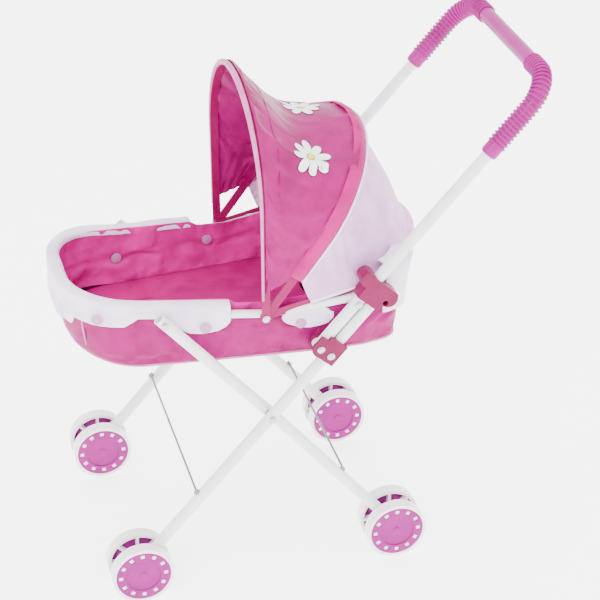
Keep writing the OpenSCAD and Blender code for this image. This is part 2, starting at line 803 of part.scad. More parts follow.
rail_foot();
rail_head();
rail_link(true);  // rail_link_left
rail_link(false);  // rail_link_right
leg_rivet(true);  // leg_rivet_left
leg_rivet(false);  // leg_rivet_right
canopy_rivet(true);  // canopy_rivet_left
canopy_rivet(false);  // canopy_rivet_right
basket_wall();
basket_liner();
floor_pad();
rim_cover();
hem_piping();
side_flap(true);  // side_flap_left
side_flap(false);  // side_flap_right
canopy_rear_bow();
snap_front(true);  // snap_front_left
snap_front(false);  // snap_front_right
snap_side(true);  // snap_side_left
snap_side(false);  // snap_side_right
rear_leg(true);  // rear_leg_left
rear_leg(false);  // rear_leg_right
rear_wire();
cross_tail(true);  // cross_tail_left
cross_tail(false);  // cross_tail_right
front_leg(true);  // front_leg_left
front_leg(false);  // front_leg_right
front_wire();
cross_rivet(true);  // cross_rivet_left
cross_rivet(false);  // cross_rivet_right
hinge_bracket(true);  // hinge_bracket_left
hinge_bracket(false);  // hinge_bracket_right
hinge_pin(true);  // hinge_pin_left
hinge_pin(false);  // hinge_pin_right
bracket_rivet(true);  // bracket_rivet_left
bracket_rivet(false);  // bracket_rivet_right
handle_tube();
rail_rivet_pin(true);  // rail_rivet_left
rail_rivet_pin(false);  // rail_rivet_right
grip_sleeve(true);  // grip_sleeve_left
grip_sleeve(false);  // grip_sleeve_right
grip_centre();
latch(true);  // latch_left
latch(false);  // latch_right
canopy_middle_bow();
hood_rear_panel();
canopy_front_bow();
hood_front_panel();
wheel_inner(true, front_axle, outer_plane);  // wheel_fl_inner
wheel_outer(true, front_axle, outer_plane);  // wheel_fl_outer
wheel_cap(true, front_axle, outer_plane);  // wheel_fl_cap
wheel_inner(false, front_axle, outer_plane);  // wheel_fr_inner
wheel_outer(false, front_axle, outer_plane);  // wheel_fr_outer
wheel_cap(false, front_axle, outer_plane);  // wheel_fr_cap
wheel_inner(true, rear_axle, rear_wheel_plane);  // wheel_rl_inner
wheel_outer(true, rear_axle, rear_wheel_plane);  // wheel_rl_outer
wheel_cap(true, rear_axle, rear_wheel_plane);  // wheel_rl_cap
wheel_inner(false, rear_axle, rear_wheel_plane);  // wheel_rr_inner
wheel_outer(false, rear_axle, rear_wheel_plane);  // wheel_rr_outer
wheel_cap(false, rear_axle, rear_wheel_plane);  // wheel_rr_cap
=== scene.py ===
"""Doll stroller: soft goods, finishes, camera and studio around the fixed frame."""
import json
import math

import bmesh
import bpy
import numpy as np
from bpy.props import FloatProperty, FloatVectorProperty, IntProperty, PointerProperty
from mathutils import Matrix, Quaternion, Vector, noise
from mathutils.bvhtree import BVHTree

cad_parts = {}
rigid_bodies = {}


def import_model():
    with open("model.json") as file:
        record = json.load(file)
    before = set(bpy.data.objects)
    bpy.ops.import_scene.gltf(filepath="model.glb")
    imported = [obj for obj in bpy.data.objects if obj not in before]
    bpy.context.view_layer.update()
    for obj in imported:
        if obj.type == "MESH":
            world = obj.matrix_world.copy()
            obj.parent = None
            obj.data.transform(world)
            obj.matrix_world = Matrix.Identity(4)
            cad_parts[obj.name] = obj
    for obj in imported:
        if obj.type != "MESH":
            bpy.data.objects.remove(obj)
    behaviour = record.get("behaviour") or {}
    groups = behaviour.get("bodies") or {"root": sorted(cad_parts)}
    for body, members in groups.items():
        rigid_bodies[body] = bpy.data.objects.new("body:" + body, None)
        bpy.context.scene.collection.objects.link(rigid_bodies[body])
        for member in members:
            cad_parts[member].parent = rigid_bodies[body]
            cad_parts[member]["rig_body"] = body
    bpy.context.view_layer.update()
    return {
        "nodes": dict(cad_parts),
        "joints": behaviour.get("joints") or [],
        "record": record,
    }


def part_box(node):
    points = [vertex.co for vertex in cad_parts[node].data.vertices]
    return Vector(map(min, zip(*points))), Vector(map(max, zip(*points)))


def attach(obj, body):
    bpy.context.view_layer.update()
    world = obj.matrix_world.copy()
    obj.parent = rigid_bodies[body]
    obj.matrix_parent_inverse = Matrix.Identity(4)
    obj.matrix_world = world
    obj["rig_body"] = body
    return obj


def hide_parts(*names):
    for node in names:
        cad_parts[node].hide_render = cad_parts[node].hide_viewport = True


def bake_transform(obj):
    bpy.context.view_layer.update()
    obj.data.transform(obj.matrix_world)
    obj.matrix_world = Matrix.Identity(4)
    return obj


bl_info = {
    "name": "Doll stroller",
    "version": (1, 0, 0),
    "blender": (4, 5, 0),
    "location": "View3D > Sidebar > Stroller",
    "description": "Builds the cloth, finishes and studio of a folding doll stroller",
    "category": "Object",
}

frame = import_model()
MM = 0.001
JOINTS = {j["name"]: j for j in frame["joints"]}
SLOT_OF = {p["node"]: p["material_slot"] for p in frame["record"]["subparts"]}
CANOPY_PIVOT = Vector(JOINTS["canopy_middle_fold"]["pos_m"])
RAIL_RIVET = Vector(JOINTS["handle_fold"]["pos_m"])
LEG_PIVOT = Vector(JOINTS["rear_leg_fold"]["pos_m"])
HINGE = Vector(JOINTS["front_leg_fold"]["pos_m"])
AXLE_X = JOINTS["wheel_fl_spin"]["pos_m"][0]
HANDLE_ANGLE = math.atan2(RAIL_RIVET.z - HINGE.z, RAIL_RIVET.x - HINGE.x)
LEFT_RIGHT = {"left": -1, "right": 1}
PIECES = {}


# ---- sizes a maker would change ----

class BasketSizes(bpy.types.PropertyGroup):
    rail_radius: FloatProperty(name="Rail radius", description="Radius of the rail rod",
                               default=4.5 * MM, unit="LENGTH")
    foot_half: FloatProperty(name="Foot half width", description="Rail half width at the foot",
                             default=88.2 * MM, unit="LENGTH")
    foot_corner: FloatProperty(name="Foot corner", description="Rail corner radius at the foot",
                               default=65 * MM, unit="LENGTH")
    head_half: FloatProperty(name="Head half width", description="Half width at the head end",
                             default=103 * MM, unit="LENGTH")
    wide_half: FloatProperty(name="Widest half width", description="Half width at the handle",
                             default=110.5 * MM, unit="LENGTH")
    head_corner: FloatProperty(name="Head corner", description="Corner radius at the head",
                               default=24 * MM, unit="LENGTH")
    wrinkle: FloatProperty(name="Wrinkle", description="Depth of the creases in the cloth walls",
                           default=2.5 * MM, unit="LENGTH")
    lining_rise: FloatProperty(name="Lining rise", description="Lining edge above the rail",
                               default=14 * MM, unit="LENGTH")
    growth: FloatProperty(name="Slack", description="Extra cloth in the walls", default=0.05)


class CanopySizes(bpy.types.PropertyGroup):
    ridge_sag: FloatProperty(name="Ridge sag", description="Dip between the bows at the top",
                             default=22 * MM, unit="LENGTH")
    rear_puff: FloatProperty(name="Rear fullness", description="Swell of the rear panel",
                             default=4 * MM, unit="LENGTH")
    cloth: FloatProperty(name="Cloth", description="Thickness of the canopy cloth",
                         default=0.8 * MM, unit="LENGTH")
    petal: FloatProperty(name="Petal length", description="Length of a printed petal",
                         default=19 * MM, unit="LENGTH")
    petals: IntProperty(name="Petals", description="Petals of the printed daisy", default=8)


class StudioSizes(bpy.types.PropertyGroup):
    lens: FloatProperty(name="Lens", description="Focal length in millimetres", default=117.7)
    eye: FloatVectorProperty(name="Eye", description="Camera place", size=3, unit="LENGTH",
                             default=(-0.4814, -1.8384, 1.3616))
    target: FloatVectorProperty(name="Target", description="Point looked at", size=3,
                                unit="LENGTH", default=(0.0166, 0.0, 0.2677))
    roll: FloatProperty(name="Roll", description="Camera roll", default=math.radians(-0.24),
                        subtype="ANGLE")


# ---- materials ----

FINISHES = {
    # slot: colour, second colour, roughness, sheen, coat, pattern, pattern scale, bump
    "painted_tube": ((0.72, 0.7, 0.73), (0.64, 0.62, 0.65), 0.26, 0, 0.35, "speckle", 260, 0.04),
    "pink_plastic": ((0.16, 0.0, 0.048), (0.125, 0.0, 0.036), 0.34, 0, 0.03, "speckle", 420, 0.05),
    "rivet_steel": ((0.5, 0.5, 0.52), (0.38, 0.38, 0.4), 0.22, 0, 0, "speckle", 900, 0.05),
    "wire_steel": ((0.22, 0.21, 0.22), (0.15, 0.15, 0.16), 0.36, 0, 0, "speckle", 700, 0.1),
    "bow_plastic": ((0.24, 0.0, 0.075), (0.19, 0.0, 0.055), 0.4, 0, 0.03, "speckle", 500, 0.06),
    "pink_satin": ((0.26, 0.0, 0.108), (0.19, 0.0, 0.07), 0.36, 0.0, 0, "weave", 1500, 0.16),
    "floor_cloth": ((0.38, 0.0, 0.14), (0.29, 0.0, 0.1), 0.4, 0.0, 0, "weave", 1500, 0.16),
    "white_satin": ((0.74, 0.63, 0.78), (0.6, 0.48, 0.66), 0.4, 0.0, 0, "weave", 1400, 0.14),
    "pale_binding": ((0.5, 0.16, 0.33), (0.4, 0.11, 0.25), 0.5, 0.0, 0, "weave", 1200, 0.2),
    "pale_satin": ((0.6, 0.33, 0.58), (0.5, 0.24, 0.48), 0.38, 0.0, 0, "weave", 1500, 0.14),
    "snap_plastic": ((0.42, 0.2, 0.36), (0.36, 0.16, 0.3), 0.3, 0, 0.2, "speckle", 500, 0.04),
    "grip_plastic": ((0.28, 0.0, 0.165), (0.21, 0.0, 0.12), 0.3, 0, 0.06, "speckle", 380, 0.06),
    "wheel_white": ((0.8, 0.77, 0.8), (0.72, 0.69, 0.72), 0.3, 0, 0.25, "speckle", 300, 0.05),
    "cap_magenta": ((0.25, 0.0, 0.16), (0.2, 0.0, 0.125), 0.3, 0, 0.05, "speckle", 400, 0.04),
}
# Painted light: the lining is the same pink satin as the wall, with its colour made about twice as
# light to make up for the shade inside the basket.
LIT_LINING_FINISH = ((0.56, 0.003, 0.25), (0.42, 0.0, 0.17), 0.38, 0.0, 0, "weave", 1500, 0.16)
METALS = ("rivet_steel", "wire_steel")
MADE = {}


def add_node(tree, kind, **inputs):
    node = tree.nodes.new(kind)
    for name, value in inputs.items():
        node.inputs[name.replace("_", " ")].default_value = value
    return node


def make_finish(name, colour, second, rough, sheen, coat, pattern, scale, bump):
    """Principled surface with colour variation, uneven gloss and a fine relief."""
    material = bpy.data.materials.get(name) or bpy.data.materials.new(name)
    material.use_nodes = True
    tree = material.node_tree
    shader = next(n for n in tree.nodes if n.type == "BSDF_PRINCIPLED")
    shader.inputs["Metallic"].default_value = 1.0 if name in METALS else 0.0
    shader.inputs["Sheen Weight"].default_value = sheen
    shader.inputs["Sheen Roughness"].default_value = 0.4
    shader.inputs["Coat Weight"].default_value = coat
    shader.inputs["Specular IOR Level"].default_value = 0.1 if pattern == "weave" else 0.16
    shader.inputs["Coat Roughness"].default_value = 0.12
    place = tree.nodes.new("ShaderNodeTexCoord").outputs["Object"]
    cloud = add_node(tree, "ShaderNodeTexNoise", Scale=34.0, Detail=4.0, Roughness=0.55)
    tree.links.new(place, cloud.inputs["Vector"])
    ramp = tree.nodes.new("ShaderNodeValToRGB")
    ramp.color_ramp.elements[0].position = 0.32
    ramp.color_ramp.elements[0].color = (*second, 1)
    ramp.color_ramp.elements[1].position = 0.58
    ramp.color_ramp.elements[1].color = (*colour, 1)
    tree.links.new(cloud.outputs["Fac"], ramp.inputs["Fac"])
    tree.links.new(ramp.outputs["Color"], shader.inputs["Base Color"])
    gloss = add_node(tree, "ShaderNodeMapRange", From_Min=0.3, From_Max=0.7,
                     To_Min=rough - 0.05, To_Max=rough + 0.09)
    tree.links.new(cloud.outputs["Fac"], gloss.inputs["Value"])
    tree.links.new(gloss.outputs["Result"], shader.inputs["Roughness"])
    if pattern == "weave":
        warp = add_node(tree, "ShaderNodeTexWave", Scale=scale / 3, Distortion=1.2, Detail=1.0)
        warp.bands_direction = "X"
        weft = add_node(tree, "ShaderNodeTexWave", Scale=scale / 3, Distortion=1.2, Detail=1.0)
        weft.bands_direction = "Z"
        for wave in (warp, weft):
            tree.links.new(place, wave.inputs["Vector"])
        cross = tree.nodes.new("ShaderNodeMath")
        cross.operation = "ADD"
        tree.links.new(warp.outputs["Fac"], cross.inputs[0])
        tree.links.new(weft.outputs["Fac"], cross.inputs[1])
        height = cross.outputs[0]
    else:
        grain = add_node(tree, "ShaderNodeTexNoise", Scale=float(scale), Detail=3.0)
        tree.links.new(place, grain.inputs["Vector"])
        height = grain.outputs["Fac"]
    relief = add_node(tree, "ShaderNodeBump", Strength=bump, Distance=0.0004)
    tree.links.new(height, relief.inputs["Height"])
    tree.links.new(relief.outputs["Normal"], shader.inputs["Normal"])
    return material


def finish_of(slot):
    if slot not in MADE:
        MADE[slot] = make_finish(slot, *FINISHES[slot])
    return MADE[slot]


def print_ink(name, colour):
    """Flat printing ink on cloth, with the cloth's weave showing through."""
    if name not in MADE:
        darker = tuple(0.86 * c for c in colour)
        MADE[name] = make_finish(name, colour, darker, 0.45, 0.2, 0, "weave", 1500, 0.14)
    return MADE[name]


# ---- mesh helpers ----

def new_piece(name, verts, faces, slot, material=None):
    mesh = bpy.data.meshes.new(name)
    mesh.from_pydata([tuple(v) for v in verts], [], faces)
    mesh.materials.append(material or finish_of(slot))
    mesh.polygons.foreach_set("use_smooth", [True] * len(mesh.polygons))
    mesh.update()
    piece = bpy.data.objects.new(name, mesh)
    bpy.context.scene.collection.objects.link(piece)
    PIECES[name] = piece
    return piece


def grid_faces(rows, cols, closed=False):
    span = cols if closed else cols - 1
    return [(r * cols + c, r * cols + (c + 1) % cols, (r + 1) * cols + (c + 1) % cols,
             (r + 1) * cols + c) for r in range(rows - 1) for c in range(span)]


def face_out(piece):
    work = bmesh.new()
    work.from_mesh(piece.data)
    bmesh.ops.recalc_face_normals(work, faces=work.faces)
    work.to_mesh(piece.data)
    work.free()


def bake_modifiers(piece):
    """Turns the evaluated shape into the piece's own plain mesh."""
    graph = bpy.context.evaluated_depsgraph_get()
    mesh = bpy.data.meshes.new_from_object(piece.evaluated_get(graph))
    piece.modifiers.clear()
    piece.data = mesh
    return piece


def thicken(piece, thickness, levels=1, offset=0.0):
    solid = piece.modifiers.new("Thickness", "SOLIDIFY")
    solid.thickness = thickness
    solid.offset = offset
    if levels:
        smooth = piece.modifiers.new("Smooth", "SUBSURF")
        smooth.levels = smooth.render_levels = levels
    bake_modifiers(piece)
    piece.data.polygons.foreach_set("use_smooth", [True] * len(piece.data.polygons))
    return piece


def sheet_area(piece):
    work = bmesh.new()
    work.from_mesh(piece.data)
    area = sum(f.calc_area() for f in work.faces)
    work.free()
    return area


def sweep(name, points, radius, slot, sides=10, closed=False, flat=1.0):
    """Round or flattened cord along points, with closed ends."""
    points = [Vector(p) for p in points]
    count = len(points)
    verts, faces = [], []
    normal = None
    for i, p in enumerate(points):
        ahead = points[(i + 1) % count] if closed or i + 1 < count else p
        behind = points[i - 1] if closed or i else p
        tangent = (ahead - behind).normalized()
        if normal is None:
            guess = Vector((0, 0, 1)) if abs(tangent.z) < 0.9 else Vector((1, 0, 0))
            normal = guess
        normal = (normal - tangent * normal.dot(tangent)).normalized()
        side = tangent.cross(normal)
        for k in range(sides):
            a = 2 * math.pi * k / sides
            verts.append(p + radius * (math.cos(a) * normal + flat * math.sin(a) * side))
    faces = grid_faces(count, sides, closed=True)
    if closed:
        last = (count - 1) * sides
        faces += [(last + k, last + (k + 1) % sides, (k + 1) % sides, k) for k in range(sides)]
    else:
        faces.append(tuple(range(sides))[::-1])
        faces.append(tuple((count - 1) * sides + k for k in range(sides)))
    piece = new_piece(name, verts, faces, slot)
    face_out(piece)
    return piece


def settle(piece, pinned, growth, frames=22, cap=0.004):
    """Lets slack cloth buckle between its pinned edges, then keeps the shape."""
    start = np.array([v.co for v in piece.data.vertices])
    group = piece.vertex_groups.new(name="held")
    for index, weight in pinned.items():
        group.add([index], weight, "REPLACE")
    cloth = piece.modifiers.new("Cloth", "CLOTH")
    cloth.settings.quality = 5
    cloth.settings.mass = 0.15
    cloth.settings.tension_stiffness = 12
    cloth.settings.compression_stiffness = 12
    cloth.settings.bending_stiffness = 0.12
    cloth.settings.shrink_min = -growth
    cloth.settings.vertex_group_mass = "held"
    cloth.settings.effector_weights.gravity = 0.15
    cloth.collision_settings.use_collision = False
    scene = bpy.context.scene
    for step in range(1, frames + 1):
        scene.frame_set(step)
    graph = bpy.context.evaluated_depsgraph_get()
    moved = np.array([v.co for v in piece.evaluated_get(graph).data.vertices])
    piece.modifiers.clear()
    piece.vertex_groups.clear()
    scene.frame_set(1)
    shift = moved - start
    size = np.linalg.norm(shift, axis=1, keepdims=True)
    shift *= cap * np.tanh(size / cap) / np.maximum(size, 1e-9)
    piece.data.vertices.foreach_set("co", (start + shift).ravel())
    piece.data.update()
    return piece


def crease(u, v, seed, along=3.0, across=26.0):
    """Wandering folds, -1 to 1."""
    wander = 0.6 * noise.noise(Vector((u * 2.0, v * 1.5, seed)))
    broad = noise.noise(Vector((u * across, v * along + wander * 3, seed + 3.1)))
    fine = noise.noise(Vector((u * across * 2.3, v * along * 2 + wander * 4, seed + 7.7)))
    return broad + 0.45 * fine


# ---- basket plan ----

def rail_height(x):
    low = CANOPY_PIVOT.z
    knee = CANOPY_PIVOT.x + 6 * MM
    if x < knee:
        return low + (knee - x) * (LEG_PIVOT.z - low) / (knee - LEG_PIVOT.x)
    return low + (x - knee) * (RAIL_RIVET.z - low) / (RAIL_RIVET.x - knee)


def basket_plan(count):
    """Centre line of the basket from the head, down the left side, round the foot and back."""
    size = bpy.context.scene.stroller_basket
    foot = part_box("rail_foot")[0].x + size.rail_radius
    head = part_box("rail_head")[1].x - size.rail_radius
    half = [(head, 0.0), (head, size.head_half - size.head_corner)]
    for k in range(1, 8):
        a = math.radians(12 * k)
        half.append((head - size.head_corner * (1 - math.cos(a)),
                     size.head_half - size.head_corner * (1 - math.sin(a))))
    half.append((RAIL_RIVET.x, size.wide_half))
    centre = (foot + size.foot_corner, size.foot_half - size.foot_corner)
    for k in range(13):
        a = math.radians(96 + 7 * k)
        half.append((centre[0] + size.foot_corner * math.cos(a),
                     centre[1] + size.foot_corner * math.sin(a)))
    half.append((foot, 0.0))
    line = [Vector((x, -y)) for x, y in half] + [Vector((x, y)) for x, y in half[-2:0:-1]]
    for _ in range(2):
        smooth = []
        for a, b in zip(line, line[1:] + line[:1]):
            smooth += [a * 0.75 + b * 0.25, a * 0.25 + b * 0.75]
        line = smooth
    first = min(range(len(line)), key=lambda i: (abs(line[i].y) + (line[i].x < 0)))
    line = line[first:] + line[:first] + [line[first]]
    reach = [0.0]
    for a, b in zip(line, line[1:]):
        reach.append(reach[-1] + (b - a).length)
    spots = np.linspace(0, reach[-1], count, endpoint=False)
    xs = np.interp(spots, reach, [p.x for p in line])
    ys = np.interp(spots, reach, [p.y for p in line])
    points = [Vector((x, y)) for x, y in zip(xs, ys)]
    result = []
    for i, p in enumerate(points):
        t = (points[(i + 1) % count] - points[i - 1]).normalized()
        result.append((p, Vector((-t.y, t.x)) * -1, spots[i] / reach[-1]))
    middle = Vector((sum(p.x for p in points) / count, 0))
    return [(p, n if n.dot(p - middle) > 0 else -n, s) for p, n, s in result]


def at_plan(p, n, offset, z):
    return Vector((p.x + n.x * offset, p.y + n.y * offset, z))


FLOOR_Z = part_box("basket_wall")[0].z
HEM_RISE = 17 * MM


def foot_share(x):
    """0 behind the front axle, rising to 1 at the foot end."""
    return min(max((AXLE_X + 24 * MM - x) / (76 * MM), 0), 1)


def hem_height(x):
    return FLOOR_Z + HEM_RISE * foot_share(x) ** 1.6


def wall_offset(share, x=0.0):
    """Outward place of the outer wall: in under the floor, fullest above the middle."""
    tuck = 5.0 * foot_share(x) * (1 - share)
    return (-3.0 - tuck + 4.6 * math.sin(min(share * 1.25, 1) * math.pi / 2)) * MM


def add_operator(cls):
    OPERATORS.append(cls)
    return cls


OPERATORS = []


def side_open(x):
    """1 beside the canopy pivots, where the rail is bare, and 0 elsewhere."""
    start, end = AXLE_X + 114 * MM, AXLE_X + 262 * MM
    soft = 6 * MM
    rise = min(max((x - start) / soft, 0), 1)
    fall = min(max((end - x) / soft, 0), 1)
    return rise * fall


# satin thickness, in metres
SATIN_T = 1.0 * MM


def edge_pins(rows, count):
    """Full hold on the first and the last row of a sheet."""
    pinned = {i: 1.0 for i in range(count)}
    pinned.update({(rows - 1) * count + i: 1.0 for i in range(count)})
    return pinned


def gathered_sheet(piece, node):
    """Thickens a sheet gathered on the rail, hides the frame node it stands for and puts it on the
    basket. Its flat height is worked out from its own area, so it is not a cut size. Its area is
    measured but not used."""
    area = sheet_area(piece)
    face_out(piece)
    thicken(piece, SATIN_T, 1)
    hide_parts(node)
    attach(piece, "basket")


@add_operator
class StrollerOuterWall(bpy.types.Operator):
    """Gathered satin wall of the basket with its flat base"""
    bl_idname = "stroller.outer_wall"
    bl_label = "Outer wall"

    def execute(self, context):
        size = context.scene.stroller_basket
        count, rows = 300, 22
        plan = basket_plan(count)
        verts = []
        for r in range(rows):
            share = r / (rows - 1)
            for p, n, s in plan:
                top = rail_height(p.x) - (2.5 + 3.5 * side_open(p.x)) * MM
                hem = hem_height(p.x)
                z = hem + (top - hem) * share
                hold = math.sin(math.pi * share) ** 0.6
                fold = crease(s, share, 1.7, along=3.4, across=32)
                d = wall_offset(share, p.x) + size.wrinkle * fold * hold
                verts.append(at_plan(p, n, d, z))
        piece = new_piece("outer_wall", verts, grid_faces(rows, count, True), "pink_satin")
        settle(piece, edge_pins(rows, count), size.growth, cap=3.2 * MM)
        gathered_sheet(piece, "basket_wall")
        base, inner, deep = ([at_plan(p, n, d * MM if d else wall_offset(0, p.x),
                                      hem_height(p.x) + lift * MM) for p, n, s in plan]
                             for d, lift in ((0, 0.6), (-20, 0.2), (-60, 0.6)))
        faces = grid_faces(3, count, True) + [tuple(2 * count + i for i in range(count))]
        bottom = new_piece("basket_base", base + inner + deep, faces, "pink_satin")
        thicken(bottom, 0.8 * MM, 0)
        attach(bottom, "basket")
        return {"FINISHED"}


@add_operator
class StrollerLining(bpy.types.Operator):
    """Inner lining that runs up to the rim"""
    bl_idname = "stroller.lining"
    bl_label = "Lining"

    def execute(self, context):
        size = context.scene.stroller_basket
        count, rows = 260, 20
        plan = basket_plan(count)
        verts = []
        for r in range(rows):
            share = r / (rows - 1)
            for p, n, s in plan:
                top = rail_height(p.x) + (size.lining_rise - 5 * MM * side_open(p.x))
                floor = FLOOR_Z + 10 * MM + 0.6 * (hem_height(p.x) - FLOOR_Z)
                z = floor + (top - floor) * share
                hold = math.sin(math.pi * min(share * 0.97 + 0.02, 1)) ** 0.5
                d = -11.5 * MM + 4.2 * MM * share ** 2
                d += 1.5 * size.wrinkle * crease(s, share, 5.2, 2.4, 15) * hold
                verts.append(at_plan(p, n, d, z))
        # The lining wears the lighter copy of the pink satin: its colour carries painted light for
        # the shaded inside of the basket.
        piece = new_piece("lining", verts, grid_faces(rows, count, True), "pink_satin",
                          make_finish("lining_satin_painted_light", *LIT_LINING_FINISH))
        settle(piece, edge_pins(rows, count), size.growth, cap=4 * MM)
        gathered_sheet(piece, "basket_liner")
        return {"FINISHED"}


@add_operator
class StrollerFloorPad(bpy.types.Operator):
    """Crowned pad on the basket floor"""
    bl_idname = "stroller.floor_pad"
    bl_label = "Floor pad"

    def execute(self, context):
        count = 160
        plan = basket_plan(count)
        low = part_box("floor_pad")[0].z
        rings = [(-13.5, 0.0), (-12.2, 1.6), (-12.2, 3.6), (-13.6, 5.4), (-20, 7.0), (-30, 7.6),
                 (-42, 7.0), (-56, 7.4), (-70, 7.2), (-82, 7.4)]
        verts = []
        for d, h in rings:
            for p, n, s in plan:
                inward = max(abs(d) - 12, 0)
                fold = crease(s, inward / 80, 9.4, 3, 14) * min(inward / 10, 1)
                verts.append(at_plan(p, n, d * MM, low + (h + 0.7 * fold) * MM))
        faces = grid_faces(len(rings), count, True)
        faces.append(tuple(range(count)))
        last = (len(rings) - 1) * count
        faces.append(tuple(last + i for i in range(count)))
        piece = new_piece("floor_cushion", verts, faces, "floor_cloth")
        face_out(piece)
        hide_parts("floor_pad")
        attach(piece, "basket")
        return {"FINISHED"}


def lobe_line(x, front):
    """Lower edge of the collar outside, as height above the axle's floor."""
    stations = [(-56, 318), (-48, 325), (-25, 321), (3, 320), (13, 326), (20, 331), (34, 331),
                (46, 322), (60, 312), (70, 306), (84, 304), (100, 306), (110, 311), (116, 320)]
    return float(np.interp((x - AXLE_X) / MM, [a for a, _ in stations],
                           [b for _, b in stations])) * MM - front * 10 * MM


def collar_strip(name, plan, low_of, rise_of, drop_in, out_of, tuck=2.6):
    """Padded band folded over the rail; low_of gives the outside lower edge."""
    verts = []
    profile = 16
    for k in range(profile):
        for p, n, s in plan:
            rail = rail_height(p.x)
            top = rail + rise_of(p)
            low = low_of(p)
            out, flare = out_of(p)
            f = k / (profile - 1)
            if f < 0.2:
                g = f / 0.2
                d, z = -7.2 + 0.6 * g, top - drop_in * (1 - g)
            elif f < 0.45:
                a = (f - 0.2) / 0.25 * math.pi
                d, z = 0.2 - 6.8 * math.cos(a), top + 3.2 * MM * math.sin(a)
                d += flare * (1 - math.cos(a)) / 2
            else:
                g = (f - 0.45) / 0.55
                d, z = out - 1.2 * math.sin(g * math.pi) + 0.8 * g, top + (low - top) * g
                d += flare * (1 - g) ** 1.4
            swell = 1.9 * crease(s, f, 13.3, 3.4, 30) * (0.35 + 0.65 * math.sin(math.pi * f))
            verts.append(at_plan(p, n, (d + swell) * MM, z + 0.5 * swell * MM))
    piece = new_piece(name, verts, grid_faces(profile, len(plan)), "white_satin")
    face_out(piece)
    thicken(piece, tuck * MM, 1)
    return piece


@add_operator
class StrollerCollar(bpy.types.Operator):
    """White padded collar with hanging lobes, and the apron round the head"""
    bl_idname = "stroller.collar"
    bl_label = "Collar"

    def execute(self, context):
        plan = basket_plan(420)
        end = AXLE_X + 116 * MM
        foot = [q for q in plan if q[0].x < end]
        collar = collar_strip("rim_collar", foot,
                              lambda p: lobe_line(p.x, 1.0 if abs(p.y) < 60 * MM else 0.0),
                              lambda p: (11 + 5 * foot_share(p.x)) * MM, 5 * MM,
                              lambda p: (7.0 - 2.5 * foot_share(p.x), 0.0))
        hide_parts("rim_cover")
        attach(collar, "basket")
        start = AXLE_X + 276 * MM
        half = len(plan) // 2
        turned = plan[half:] + plan[:half]
        head = [q for q in turned if q[0].x > start]

        def apron_low(p):
            side = min(abs(p.y) / (100 * MM), 1)
            return (304 - 4 * math.sin(side * math.pi)) * MM

        def corner(p):
            return math.exp(-((abs(p.y) - 92 * MM) / (22 * MM)) ** 2)

        apron = collar_strip("head_apron", head, apron_low,
                             lambda p: (10 + 24 * corner(p)) * MM, 8 * MM,
                             lambda p: (7.6, 11.0 * corner(p)))
        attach(apron, "basket")
        return {"FINISHED"}


@add_operator
class StrollerPiping(bpy.types.Operator):
    """Pale piping on the bottom edge and up the foot corners"""
    bl_idname = "stroller.piping"
    bl_label = "Piping"

    def execute(self, context):
        plan = basket_plan(300)
        low = [at_plan(p, n, wall_offset(0, p.x) + 0.4 * MM, hem_height(p.x) - 0.4 * MM)
               for p, n, s in plan]
        hem = sweep("bottom_piping", low, 1.5 * MM, "pale_binding", 10, closed=True)
        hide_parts("hem_piping")
        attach(hem, "basket")
        corner_x = AXLE_X - 36 * MM
        for name, sign in LEFT_RIGHT.items():
            side = [q for q in plan if q[0].y * sign > 0]
            p, n, s = min(side, key=lambda q: abs(q[0].x - corner_x))
            top = rail_height(p.x) - 8 * MM
            line = []
            for k in range(12):
                share = k / 11
                hem_z = hem_height(p.x)
                line.append(at_plan(p, n, wall_offset(share, p.x) + 1.2 * MM,
                                    hem_z + (top - hem_z) * share))
            seam = sweep("corner_piping_" + name, line, 1.1 * MM, "pale_binding", 8)
            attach(seam, "basket")
        return {"FINISHED"}


# ---- canopy surface ----

def bow_facts(node):
    """Half width, reach and angle of a bow strip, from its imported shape."""
    co = np.array([v.co for v in frame["nodes"][node].data.vertices])
    across = co[:, [0, 2]] - np.array([CANOPY_PIVOT.x, CANOPY_PIVOT.z])
    reach = np.hypot(across[:, 0], across[:, 1])
    tip = across[reach > reach.max() - 1.5 * MM].mean(0)
    return {"half": float(co[:, 1].max()), "reach": float(np.hypot(*tip)),
            "angle": math.atan2(tip[1], tip[0])}


REAR, MIDDLE, FRONT = (bow_facts("canopy_%s_bow" % n) for n in ("rear", "middle", "front"))


def arch(bow, low, t, grow=1.2 * MM):
    """Point on a bow, t from 0 at the left end over the top to 1 at the right end."""
    half, reach = bow["half"] + grow, bow["reach"] + grow
    straight = reach - half - low
    total = 2 * straight + math.pi * half
    d = t * total
    if d < straight:
        radial, y = low + d, -half
    elif d > total - straight:
        radial, y = low + total - d, half
    else:
        a = math.pi - (d - straight) / half
        radial, y = reach - half + half * math.sin(a), half * math.cos(a)
    return Vector((CANOPY_PIVOT.x + radial * math.cos(bow["angle"]), y,
                   CANOPY_PIVOT.z + radial * math.sin(bow["angle"])))


def outward(p):
    out = Vector((p.x - CANOPY_PIVOT.x, 0, p.z - CANOPY_PIVOT.z))
    return out.normalized() if out.length > 1e-6 else Vector((0, 0, 1))


def hood_point(a, b, s, t, low_a, low_b, sag):
    """Cloth between bows a and b, s from 0 at a to 1 at b."""
    low_of = low_a + (low_b - low_a) * s
    p = arch(a, low_of, t).lerp(arch(b, low_of, t), s)
    top = math.sin(math.pi * t)
    width = (arch(a, low_of, t) - arch(b, low_of, t)).length
    edge = min(s, 1 - s) * width
    hold = 2.4 * MM * math.exp(-(edge / (6 * MM)) ** 2)
    dip = sag * math.sin(math.pi * s) ** 2.2 * top ** 2.2
    return p + outward(p) * (hold - dip)


def blend_front(piece):
    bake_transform(piece)


def blend_rear(piece):
    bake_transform(piece)


LOW_FRONT, LOW_MIDDLE, LOW_REAR = 26 * MM, 60 * MM, 50 * MM


